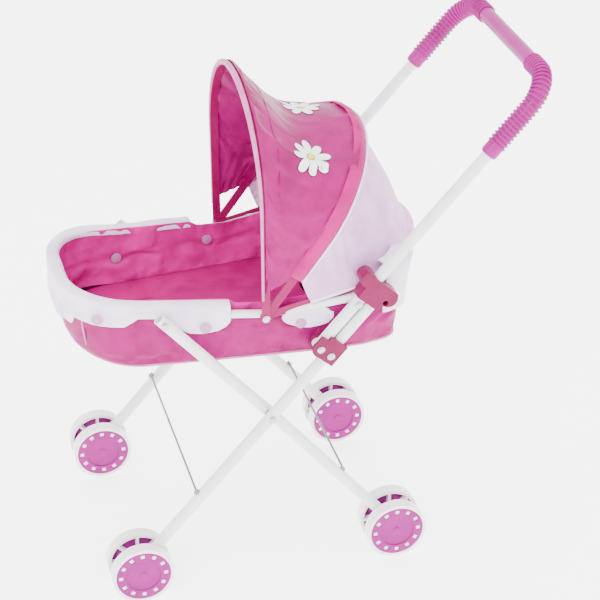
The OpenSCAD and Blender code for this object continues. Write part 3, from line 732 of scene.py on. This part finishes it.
def cloth_grid(name, point_of, rows, cols, slot, cap, growth, folds):
    """Sheet whose rows run between two bows and whose columns run along them."""
    verts = []
    for r in range(rows):
        for c in range(cols):
            s, t = r / (rows - 1), c / (cols - 1)
            p = point_of(s, t)
            low = min(t, 1 - t)
            gather = math.exp(-low / 0.09)
            hold = math.sin(math.pi * s) ** 0.7
            fold = crease(t * 1.4, s, 21.0, 2.4, 9) * 0.8
            pleat = math.sin(s * 34 + 3 * noise.noise(Vector((t * 9, s * 2, 4.4)))) * gather
            depth = folds * hold * (fold + 1.3 * pleat)
            side = Vector((0, 1 if t > 0.5 else -1, 0))
            lean = abs(t - 0.5) * 2
            normal = (outward(p) * (1 - lean) + side * lean).normalized()
            verts.append(p + normal * depth)
    piece = new_piece(name, verts, grid_faces(rows, cols), slot)
    pinned = {c: 1.0 for c in range(cols)}
    pinned.update({(rows - 1) * cols + c: 1.0 for c in range(cols)})
    settle(piece, pinned, growth, cap=cap)
    return piece


@add_operator
class StrollerHoodFront(bpy.types.Operator):
    """Deep pink front panel of the canopy, slack between its bows"""
    bl_idname = "stroller.hood_front"
    bl_label = "Hood front"

    def execute(self, context):
        size = context.scene.stroller_canopy

        def point_of(s, t):
            return hood_point(MIDDLE, FRONT, s, t, LOW_MIDDLE, LOW_FRONT, size.ridge_sag)

        piece = cloth_grid("hood_front_cloth", point_of, 44, 170, "pink_satin", 4 * MM, 0.05,
                           1.5 * MM)
        area = sheet_area(piece)
        thicken(piece, size.cloth, 1)
        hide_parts("hood_front_panel")
        blend_front(piece)
        edge = []
        for k in range(150):
            t = k / 149
            p = arch(FRONT, LOW_FRONT * 0.9, t, 1.8 * MM)
            top = math.sin(math.pi * t) ** 3
            ahead = Vector((-3.4 * MM - 1.2 * MM * top, 0, 0))
            edge.append(p + ahead)
        radii = [(1.5 + 1.7 * math.sin(math.pi * k / 149) ** 3) * MM for k in range(150)]
        trim = sweep_varying("front_binding", edge, radii, "pale_binding", 12)
        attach(trim, "canopy_front")
        tree = BVHTree.FromObject(piece, bpy.context.evaluated_depsgraph_get())
        line = []
        for k in range(110):
            t = 0.2 + 0.6 * k / 109
            p = hood_point(MIDDLE, FRONT, 0.77, t, LOW_MIDDLE, LOW_FRONT, size.ridge_sag)
            near, normal, _, _ = tree.find_nearest(p + outward(p) * 8 * MM)
            line.append(near + outward(near) * 0.25 * MM)
        for _ in range(12):
            line[1:-1] = [(a + b * 2 + c) / 4 for a, b, c in zip(line, line[1:], line[2:])]
        seam = sweep("hood_seam", line, 0.45 * MM, "pink_satin", 6)
        blend_front(seam)
        return {"FINISHED"}


def sweep_varying(name, points, radii, slot, sides):
    piece = sweep(name, points, 1.0 * MM, slot, sides)
    co = np.array([v.co for v in piece.data.vertices]).reshape(len(points), sides, 3)
    middle = np.array(points)[:, None, :]
    grown = middle + (co - middle) * (np.array(radii) / MM)[:, None, None]
    piece.data.vertices.foreach_set("co", grown.ravel())
    piece.data.update()
    return piece


@add_operator
class StrollerHoodRear(bpy.types.Operator):
    """Pale rear panel of the canopy, its hem and the sleeve over the middle bow"""
    bl_idname = "stroller.hood_rear"
    bl_label = "Hood rear"

    def execute(self, context):
        size = context.scene.stroller_canopy

        def point_of(s, t):
            return hood_point(REAR, MIDDLE, s, t, LOW_REAR, LOW_MIDDLE, -size.rear_puff)

        piece = cloth_grid("hood_rear_cloth", point_of, 40, 150, "pale_satin", 3 * MM, 0.03,
                           0.7 * MM)
        area = sheet_area(piece)
        thicken(piece, size.cloth, 1)
        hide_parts("hood_rear_panel")
        blend_rear(piece)
        hem_line = [arch(REAR, LOW_REAR, k / 119, 2.4 * MM) + Vector((0, 0, 1.6 * MM))
                    for k in range(120)]
        hem = sweep("rear_hem", hem_line, 2.1 * MM, "white_satin", 10)
        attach(hem, "basket")
        rows, cols, width = 9, 150, 17 * MM
        turn = Vector((math.sin(MIDDLE["angle"]), 0, -math.cos(MIDDLE["angle"])))
        verts = []
        for r in range(rows):
            f = 2 * r / (rows - 1) - 1
            for c in range(cols):
                p = arch(MIDDLE, LOW_MIDDLE - 6 * MM, c / (cols - 1), 1.6 * MM)
                side = Vector((0, 1 if p.y > 0 else -1, 0))
                lean = abs(p.y) / (MIDDLE["half"] + 1.6 * MM)
                up = (outward(p) * (1 - lean ** 4) + side * lean ** 4).normalized()
                fold = 0.5 * crease(c / cols, r / rows, 31.0, 2, 30)
                puff = 3.6 * (1 - f * f) ** 0.5 + fold - 1.2
                verts.append(p + turn * f * width / 2 + up * puff * MM)
        band = new_piece("bow_sleeve", verts, grid_faces(rows, cols), "floor_cloth")
        area = sheet_area(band)
        thicken(band, 0.8 * MM, 1)
        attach(band, "canopy_middle")
        line = [arch(MIDDLE, LOW_MIDDLE - 4 * MM, k / 139, 2.4 * MM) + turn * width * 0.53
                for k in range(140)]
        trim = sweep("sleeve_piping", line, 1.3 * MM, "white_satin", 8)
        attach(trim, "canopy_middle")
        return {"FINISHED"}


@add_operator
class StrollerDaisies(bpy.types.Operator):
    """Printed daisies on the front panel: outline, petals and centre in thin ink layers"""
    bl_idname = "stroller.daisies"
    bl_label = "Daisies"

    def execute(self, context):
        size = context.scene.stroller_canopy
        cloth = PIECES["hood_front_cloth"]
        tree = BVHTree.FromObject(cloth, bpy.context.evaluated_depsgraph_get())
        inks = {"outline": (0.02, 0.012, 0.02), "petal": (0.86, 0.84, 0.86),
                "centre": (0.75, 0.62, 0.03)}
        for label, s, t, turn in (("near", 0.42, 0.33, 0.2), ("ridge", 0.36, 0.56, 1.0)):
            where = hood_point(MIDDLE, FRONT, s, t, LOW_MIDDLE, LOW_FRONT, size.ridge_sag)
            base, normal, _, _ = tree.find_nearest(where + outward(where) * 10 * MM)
            if normal.dot(outward(where)) < 0:
                normal = -normal
            across = normal.cross(Vector((0, 1, 0))).normalized()
            along = normal.cross(across).normalized()

            def lay(name, shapes, lift, ink):
                verts, faces = [], []
                for outline in shapes:
                    first = len(verts)
                    rings, count = 5, len(outline)
                    centre = sum(outline, Vector((0, 0))) / count
                    for ring in range(1, rings + 1):
                        for q in outline:
                            w = centre.lerp(q, ring / rings)
                            spot = base + across * w.x + along * w.y
                            hit = tree.ray_cast(spot + normal * 25 * MM, -normal)
                            at = hit[0] if hit[0] is not None else tree.find_nearest(spot)[0]
                            verts.append(at + normal * lift)
                    faces += [tuple(first + i for i in range(count))]
                    faces += [(first + r * count + i, first + r * count + (i + 1) % count,
                               first + (r + 1) * count + (i + 1) % count,
                               first + (r + 1) * count + i)
                              for r in range(rings - 1) for i in range(count)]
                piece = new_piece(name, verts, faces, "white_satin",
                                  print_ink("ink_" + ink, inks[ink]))
                face_out(piece)
                thicken(piece, 0.16 * MM, 0)
                blend_front(piece)

            def petals(grow):
                shapes = []
                for k in range(size.petals):
                    a = turn + 2 * math.pi * k / size.petals
                    long = size.petal * (1 + 0.1 * math.sin(2.3 * k)) / 2
                    wide = size.petal * 0.235
                    mid = 3.2 * MM + long
                    shape = []
                    for i in range(22):
                        b = 2 * math.pi * i / 22
                        full = 1 + 0.22 * math.cos(b)
                        u = mid + (long + grow) * math.cos(b)
                        v = (wide * full + grow) * math.sin(b)
                        shape.append(Vector((u * math.cos(a) - v * math.sin(a),
                                             u * math.sin(a) + v * math.cos(a))))
                    shapes.append(shape)
                return shapes

            def disc(radius):
                return [[Vector((radius * math.cos(i * math.pi / 9),
                                 radius * math.sin(i * math.pi / 9))) for i in range(18)]]

            lay("daisy_outline_" + label, petals(0.75 * MM), 0.35 * MM, "outline")
            lay("daisy_petals_" + label, petals(0), 0.6 * MM, "petal")
            lay("daisy_rim_" + label, disc(4.6 * MM), 0.8 * MM, "outline")
            lay("daisy_centre_" + label, disc(3.9 * MM), 1.0 * MM, "centre")
        return {"FINISHED"}


# ---- small parts ----

def lathe(name, centre, axis, profile, slot, sides=28):
    """Closed turned part: profile is (radius, distance along axis), both ends on the axis."""
    centre, axis = Vector(centre), Vector(axis).normalized()
    one = axis.orthogonal().normalized()
    two = axis.cross(one)
    verts, faces = [], []
    for radius, along in profile:
        for k in range(sides):
            a = 2 * math.pi * k / sides
            verts.append(centre + axis * along + radius * (math.cos(a) * one + math.sin(a) * two))
    faces = grid_faces(len(profile), sides, True)
    faces.append(tuple(range(sides))[::-1])
    faces.append(tuple((len(profile) - 1) * sides + k for k in range(sides)))
    piece = new_piece(name, verts, faces, slot)
    face_out(piece)
    return piece


SNAP_PROFILE = [(5.6, 0), (6.0, 0.5), (5.7, 1.1), (4.6, 1.4), (4.1, 1.2), (3.4, 1.5), (1.6, 1.9),
                (0.4, 2.0)]


@add_operator
class StrollerSnapsAndFlaps(bpy.types.Operator):
    """Side flaps below the bows and the snap buttons on the collar and lining"""
    bl_idname = "stroller.snaps"
    bl_label = "Snaps and side flaps"

    def execute(self, context):
        plan = basket_plan(400)
        profile = [(r * MM, h * MM) for r, h in SNAP_PROFILE]
        for name, sign in LEFT_RIGHT.items():
            side = [q for q in plan if q[0].y * sign > 0]

            def spot(x):
                return min(side, key=lambda q: abs(q[0].x - AXLE_X - x * MM))

            for label, x, z, offset, node in (("front", -20.5, 330, 9.6, "snap_front_"),
                                              ("side", 87, 312, 9.8, "snap_side_")):
                p, n, s = spot(x)
                button = lathe("%s_snap_%s" % (label, name), at_plan(p, n, offset * MM, z * MM),
                               (n.x, n.y, 0), profile, "snap_plastic")
                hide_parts(node + name)
                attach(button, "basket")
            for label, x, z in (("head", 131, 311), ("foot", 24, 308)):
                p, n, s = spot(x)
                button = lathe("lining_snap_%s_%s" % (label, name),
                               at_plan(p, n, -10.2 * MM, z * MM), (-n.x, -n.y, 0), profile,
                               "snap_plastic")
                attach(button, "basket")
            rows, cols = 10, 26
            verts = []
            for r in range(rows):
                f = r / (rows - 1)
                for c in range(cols):
                    g = c / (cols - 1)
                    x = 169 + 56 * g
                    p, n, s = spot(x)
                    top = 315 + 11 * math.sin(math.pi * min(g * 1.05, 1)) ** 0.7
                    low = 312 - 12 * math.sin(math.pi * g) ** 0.55 - 3 * g
                    z = top + (low - top) * f
                    swell = 0.7 * crease(g, f, 41.0, 2, 7)
                    verts.append(at_plan(p, n, (5.3 + swell) * MM, z * MM))
            flap = new_piece("side_flap_cloth_" + name, verts, grid_faces(rows, cols),
                             "white_satin")
            thicken(flap, 1.2 * MM, 1)
            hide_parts("side_flap_" + name)
            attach(flap, "basket")
            p, n, s = spot(190)
            button = lathe("flap_snap_" + name, at_plan(p, n, 5.6 * MM, 305 * MM),
                           (n.x, n.y, 0), profile, "snap_plastic")
            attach(button, "basket")
        return {"FINISHED"}


def along_path_tree(name):
    """Geometry nodes: rings or stitches at even spacing along a path."""
    tree = bpy.data.node_groups.new(name, "GeometryNodeTree")
    for label, kind, direction in (("Geometry", "NodeSocketGeometry", "INPUT"),
                                   ("Spacing", "NodeSocketFloat", "INPUT"),
                                   ("Ring radius", "NodeSocketFloat", "INPUT"),
                                   ("Cord radius", "NodeSocketFloat", "INPUT"),
                                   ("Finish", "NodeSocketMaterial", "INPUT"),
                                   ("Geometry", "NodeSocketGeometry", "OUTPUT")):
        tree.interface.new_socket(label, in_out=direction, socket_type=kind)
    make, join = tree.nodes.new, tree.links.new
    entry, leave = make("NodeGroupInput"), make("NodeGroupOutput")
    curve = make("GeometryNodeMeshToCurve")
    even = make("GeometryNodeResampleCurve")
    even.mode = "LENGTH"
    tangent = make("GeometryNodeInputTangent")
    turn = make("FunctionNodeAlignRotationToVector")
    turn.axis = "Z"
    place = make("GeometryNodeInstanceOnPoints")
    ring = make("GeometryNodeCurvePrimitiveCircle")
    ring.inputs["Resolution"].default_value = 24
    cord = make("GeometryNodeCurvePrimitiveCircle")
    cord.inputs["Resolution"].default_value = 6
    body = make("GeometryNodeCurveToMesh")
    real = make("GeometryNodeRealizeInstances")
    paint = make("GeometryNodeSetMaterial")
    join(entry.outputs["Geometry"], curve.inputs["Mesh"])
    join(curve.outputs["Curve"], even.inputs["Curve"])
    join(entry.outputs["Spacing"], even.inputs["Length"])
    join(even.outputs["Curve"], place.inputs["Points"])
    join(tangent.outputs["Tangent"], turn.inputs["Vector"])
    join(turn.outputs["Rotation"], place.inputs["Rotation"])
    join(entry.outputs["Ring radius"], ring.inputs["Radius"])
    join(entry.outputs["Cord radius"], cord.inputs["Radius"])
    join(ring.outputs["Curve"], body.inputs["Curve"])
    join(cord.outputs["Curve"], body.inputs["Profile Curve"])
    join(body.outputs["Mesh"], place.inputs["Instance"])
    join(place.outputs["Instances"], real.inputs["Geometry"])
    join(real.outputs["Geometry"], paint.inputs["Geometry"])
    join(entry.outputs["Finish"], paint.inputs["Material"])
    join(paint.outputs["Geometry"], leave.inputs["Geometry"])
    return tree


def rings_along(name, points, spacing, ring, cord, slot):
    mesh = bpy.data.meshes.new(name)
    mesh.from_pydata([tuple(p) for p in points], [(i, i + 1) for i in range(len(points) - 1)], [])
    piece = bpy.data.objects.new(name, mesh)
    bpy.context.scene.collection.objects.link(piece)
    tree = bpy.data.node_groups.get("Rings along a path") or along_path_tree("Rings along a path")
    nodes = piece.modifiers.new("Rings", "NODES")
    nodes.node_group = tree
    values = {"Spacing": spacing, "Ring radius": ring, "Cord radius": cord,
              "Finish": finish_of(slot)}
    for item in tree.interface.items_tree:
        if item.in_out == "INPUT" and item.name in values:
            nodes[item.identifier] = values[item.name]
    bake_modifiers(piece)
    if not piece.data.materials:
        piece.data.materials.append(finish_of(slot))
    piece.data.polygons.foreach_set("use_smooth", [True] * len(piece.data.polygons))
    face_out(piece)
    PIECES[name] = piece
    return piece


GRIP_START, GRIP_BEND, SLEEVE_IN = 270 * MM, 36 * MM, 20 * MM


def handle_path(sign, start, steps=48):
    """Centre line of one handle side from start, round the bend and onto the bar."""
    along = Vector((math.cos(HANDLE_ANGLE), 0, math.sin(HANDLE_ANGLE)))
    low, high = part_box("grip_centre")
    bar = Vector(((low.x + high.x) / 2, 0, (low.z + high.z) / 2))
    length = (bar - Vector((HINGE.x, 0, HINGE.z))).length
    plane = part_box("handle_tube")[1].y - 6.25 * MM
    points = []
    straight = length - GRIP_BEND
    for k in range(steps):
        points.append((start + (straight - start) * k / steps, plane))
    for k in range(steps + 1):
        a = math.pi / 2 * k / steps
        points.append((straight + GRIP_BEND * math.sin(a), plane - GRIP_BEND * (1 - math.cos(a))))
    for k in range(1, 9):
        points.append((length, plane - GRIP_BEND - SLEEVE_IN * k / 8))
    base = Vector((HINGE.x, 0, HINGE.z))
    return [base + along * d + Vector((0, sign * y, 0)) for d, y in points]


@add_operator
class StrollerGrips(bpy.types.Operator):
    """Ribbed grip sleeves with their collars"""
    bl_idname = "stroller.grips"
    bl_label = "Grips"

    def execute(self, context):
        for name, sign in LEFT_RIGHT.items():
            path = handle_path(sign, GRIP_START)
            reach = [0.0]
            for a, b in zip(path, path[1:]):
                reach.append(reach[-1] + (b - a).length)
            radii = []
            for d in reach:
                collar = 1.0 if d < 13 * MM else 0.0
                ends = min(d / (2 * MM), (reach[-1] - d) / (2 * MM), 1)
                radii.append((8.9 + 0.5 * collar - 1.0 * (1 - ends)) * MM)
            sleeve = sweep_varying("grip_core_" + name, path, radii, "grip_plastic", 32)
            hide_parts("grip_sleeve_" + name)
            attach(sleeve, "handle")
            ribbed = [p for p, d in zip(path, reach) if 14 * MM < d < reach[-1] - 2 * MM]
            ribs = rings_along("grip_ribs_" + name, ribbed, 4.6 * MM, 9.3 * MM, 1.65 * MM,
                               "grip_plastic")
            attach(ribs, "handle")
        return {"FINISHED"}


def softened(node, name, slot, width):
    """Copy of a frame node with its edges rounded over."""
    source = frame["nodes"][node]
    body = source["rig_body"]
    piece = bpy.data.objects.new(name, source.data.copy())
    bpy.context.scene.collection.objects.link(piece)
    work = bmesh.new()
    work.from_mesh(piece.data)
    bmesh.ops.remove_doubles(work, verts=work.verts, dist=0.01 * MM)
    bmesh.ops.dissolve_limit(work, angle_limit=math.radians(2), verts=work.verts,
                             edges=work.edges)
    work.to_mesh(piece.data)
    work.free()
    piece.data.materials.clear()
    piece.data.materials.append(finish_of(slot))
    bevel = piece.modifiers.new("Round", "BEVEL")
    bevel.width = width
    bevel.segments = 3
    bevel.limit_method = "ANGLE"
    bevel.angle_limit = math.radians(40)
    bevel.use_clamp_overlap = True
    bake_modifiers(piece)
    piece.data.polygons.foreach_set("use_smooth", [True] * len(piece.data.polygons))
    piece.data.set_sharp_from_angle(angle=math.radians(38))
    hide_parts(node)
    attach(piece, body)
    PIECES[name] = piece
    return piece


@add_operator
class StrollerPlastics(bpy.types.Operator):
    """Rounded latches and hinge brackets"""
    bl_idname = "stroller.plastics"
    bl_label = "Latches and brackets"

    def execute(self, context):
        for side in LEFT_RIGHT:
            softened("latch_" + side, "latch_body_" + side, "pink_plastic", 1.1 * MM)
            softened("hinge_bracket_" + side, "bracket_body_" + side, "pink_plastic", 0.8 * MM)
        return {"FINISHED"}


@add_operator
class StrollerHubCaps(bpy.types.Operator):
    """Hub caps with pale windows on both faces of each wheel"""
    bl_idname = "stroller.hub_caps"
    bl_label = "Hub caps"

    def execute(self, context):
        for place in ("fl", "fr", "rl", "rr"):
            body = "wheel_" + place
            hub = Vector(JOINTS[body + "_spin"]["pos_m"])
            low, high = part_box(body + "_cap")
            softened(body + "_cap", "hub_caps_" + place, "cap_magenta", 0.45 * MM)
            cap_r, half = (high.x - low.x) / 2, (high.y - low.y) / 2
            verts, faces = [], []
            for face in (-1, 1):
                for k in range(12):
                    turn = Matrix.Rotation(math.tau * k / 12, 4, "Y")
                    first = len(verts)
                    for wide, depth in ((2.46, 1.55), (2.3, 1.0), (1.9, 0.75)):
                        for a, b in ((-1, -1), (1, -1), (1, 1), (-1, 1)):
                            spot = Vector((0.82 * cap_r + a * wide * MM, 0, b * wide * MM))
                            spot.y = face * (half - depth * MM)
                            verts.append(hub + turn @ spot)
                    for ring in (0, 4):
                        for a in range(4):
                            b = (a + 1) % 4
                            faces.append((first + ring + a, first + ring + b,
                                          first + ring + 4 + b, first + ring + 4 + a))
                    faces.append(tuple(first + 8 + a for a in range(4)))
            panes = new_piece("cap_windows_" + place, verts, faces, "wheel_white")
            face_out(panes)
            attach(panes, body)
        return {"FINISHED"}


@add_operator
class StrollerWheelWebs(bpy.types.Operator):
    """Magenta webs behind the white ribs, between the two discs of each wheel"""
    bl_idname = "stroller.wheel_webs"
    bl_label = "Wheel webs"

    def execute(self, context):
        for place in ("fl", "fr", "rl", "rr"):
            body = "wheel_" + place
            hub = Vector(JOINTS[body + "_spin"]["pos_m"])
            for half in ("inner", "outer"):
                low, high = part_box("%s_%s" % (body, half))
                side = 1 if (low.y + high.y) / 2 > hub.y else -1
                gap = (low.y - hub.y) if side > 0 else (hub.y - high.y)
                start = hub + Vector((0, side * (gap + 6.9 * MM), 0))
                web = lathe("%s_web_%s" % (body, half), start, (0, side, 0),
                            [(8.6 * MM, 0), (28.6 * MM, 0), (28.6 * MM, 0.8 * MM),
                             (8.6 * MM, 0.8 * MM)], "cap_magenta", 48)
                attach(web, body)
        return {"FINISHED"}


@add_operator
class StrollerFrameFinish(bpy.types.Operator):
    """Finishes on every frame node that stays in view"""
    bl_idname = "stroller.frame_finish"
    bl_label = "Frame finishes"

    def execute(self, context):
        for node, obj in frame["nodes"].items():
            material = finish_of(SLOT_OF[node])
            if not obj.data.materials:
                obj.data.materials.append(material)
            for slot in obj.material_slots:
                slot.material = material
        return {"FINISHED"}


@add_operator
class StrollerStage(bpy.types.Operator):
    """Pale floor, soft lights and the camera"""
    bl_idname = "stroller.stage"
    bl_label = "Studio"

    def execute(self, context):
        studio = context.scene.stroller_studio
        half = 6.0
        floor = new_piece("floor", [(-half, -half, 0), (half, -half, 0), (half, half, 0),
                                    (-half, half, 0)], [(0, 1, 2, 3)], "painted_tube",
                          make_finish("studio_floor", (0.95, 0.95, 0.95), (0.93, 0.93, 0.93),
                                      0.8, 0, 0, "speckle", 60, 0.02))
        glow = floor.data.materials[0].node_tree.nodes["Principled BSDF"]
        glow.inputs["Emission Color"].default_value = (1, 1, 1, 1)
        glow.inputs["Emission Strength"].default_value = 2.6
        world = bpy.data.worlds.new("Studio light")
        context.scene.world = world
        world.use_nodes = True
        sky = world.node_tree.nodes["Background"]
        sky.inputs["Color"].default_value = (1, 1, 1, 1)
        sky.inputs["Strength"].default_value = 3.3
        for name, place, size, power in (("Key", (-1.6, -2.2, 2.6), 1.2, 100),
                                         ("Fill", (2.2, -1.6, 1.6), 1.4, 20),
                                         ("Top", (0.2, 0.6, 3.0), 1.6, 30)):
            light = bpy.data.lights.new(name, "AREA")
            light.energy = power
            light.size = size
            lamp = bpy.data.objects.new(name, light)
            context.scene.collection.objects.link(lamp)
            lamp.location = place
            aim = Vector((0, 0, 0.25)) - Vector(place)
            lamp.rotation_euler = aim.to_track_quat("-Z", "Y").to_euler()
        camera = bpy.data.objects.new("Camera", bpy.data.cameras.new("Camera"))
        context.scene.collection.objects.link(camera)
        camera.data.lens = studio.lens
        camera.data.sensor_width = 36
        camera.data.clip_end = 50
        eye, target = Vector(studio.eye), Vector(studio.target)
        level = (target - eye).to_track_quat("-Z", "Y")
        camera.location = eye
        camera.rotation_euler = (level @ Quaternion((0, 0, 1), studio.roll)).to_euler()
        context.scene.camera = camera
        return {"FINISHED"}


class StrollerPanel(bpy.types.Panel):
    """Buttons for each group of pieces"""
    bl_idname = "VIEW3D_PT_stroller"
    bl_label = "Doll stroller"
    bl_space_type = "VIEW_3D"
    bl_region_type = "UI"
    bl_category = "Stroller"

    def draw(self, context):
        scene = context.scene
        for group in (scene.stroller_basket, scene.stroller_canopy, scene.stroller_studio):
            for name in group.__annotations__:
                self.layout.prop(group, name)
        for cls in OPERATORS:
            self.layout.operator(cls.bl_idname)


GROUPS = {"stroller_basket": BasketSizes, "stroller_canopy": CanopySizes,
          "stroller_studio": StudioSizes}


def register():
    for name, cls in GROUPS.items():
        bpy.utils.register_class(cls)
        setattr(bpy.types.Scene, name, PointerProperty(type=cls))
    for cls in OPERATORS + [StrollerPanel]:
        bpy.utils.register_class(cls)


def unregister():
    for cls in [StrollerPanel] + OPERATORS[::-1]:
        bpy.utils.unregister_class(cls)
    for name, cls in GROUPS.items():
        delattr(bpy.types.Scene, name)
        bpy.utils.unregister_class(cls)


def main():
    register()
    for cls in OPERATORS:
        name = cls.bl_idname.split(".")[1]
        if getattr(bpy.ops.stroller, name)() != {"FINISHED"}:
            raise RuntimeError(name + " did not finish")


if __name__ == "__main__":
    main()
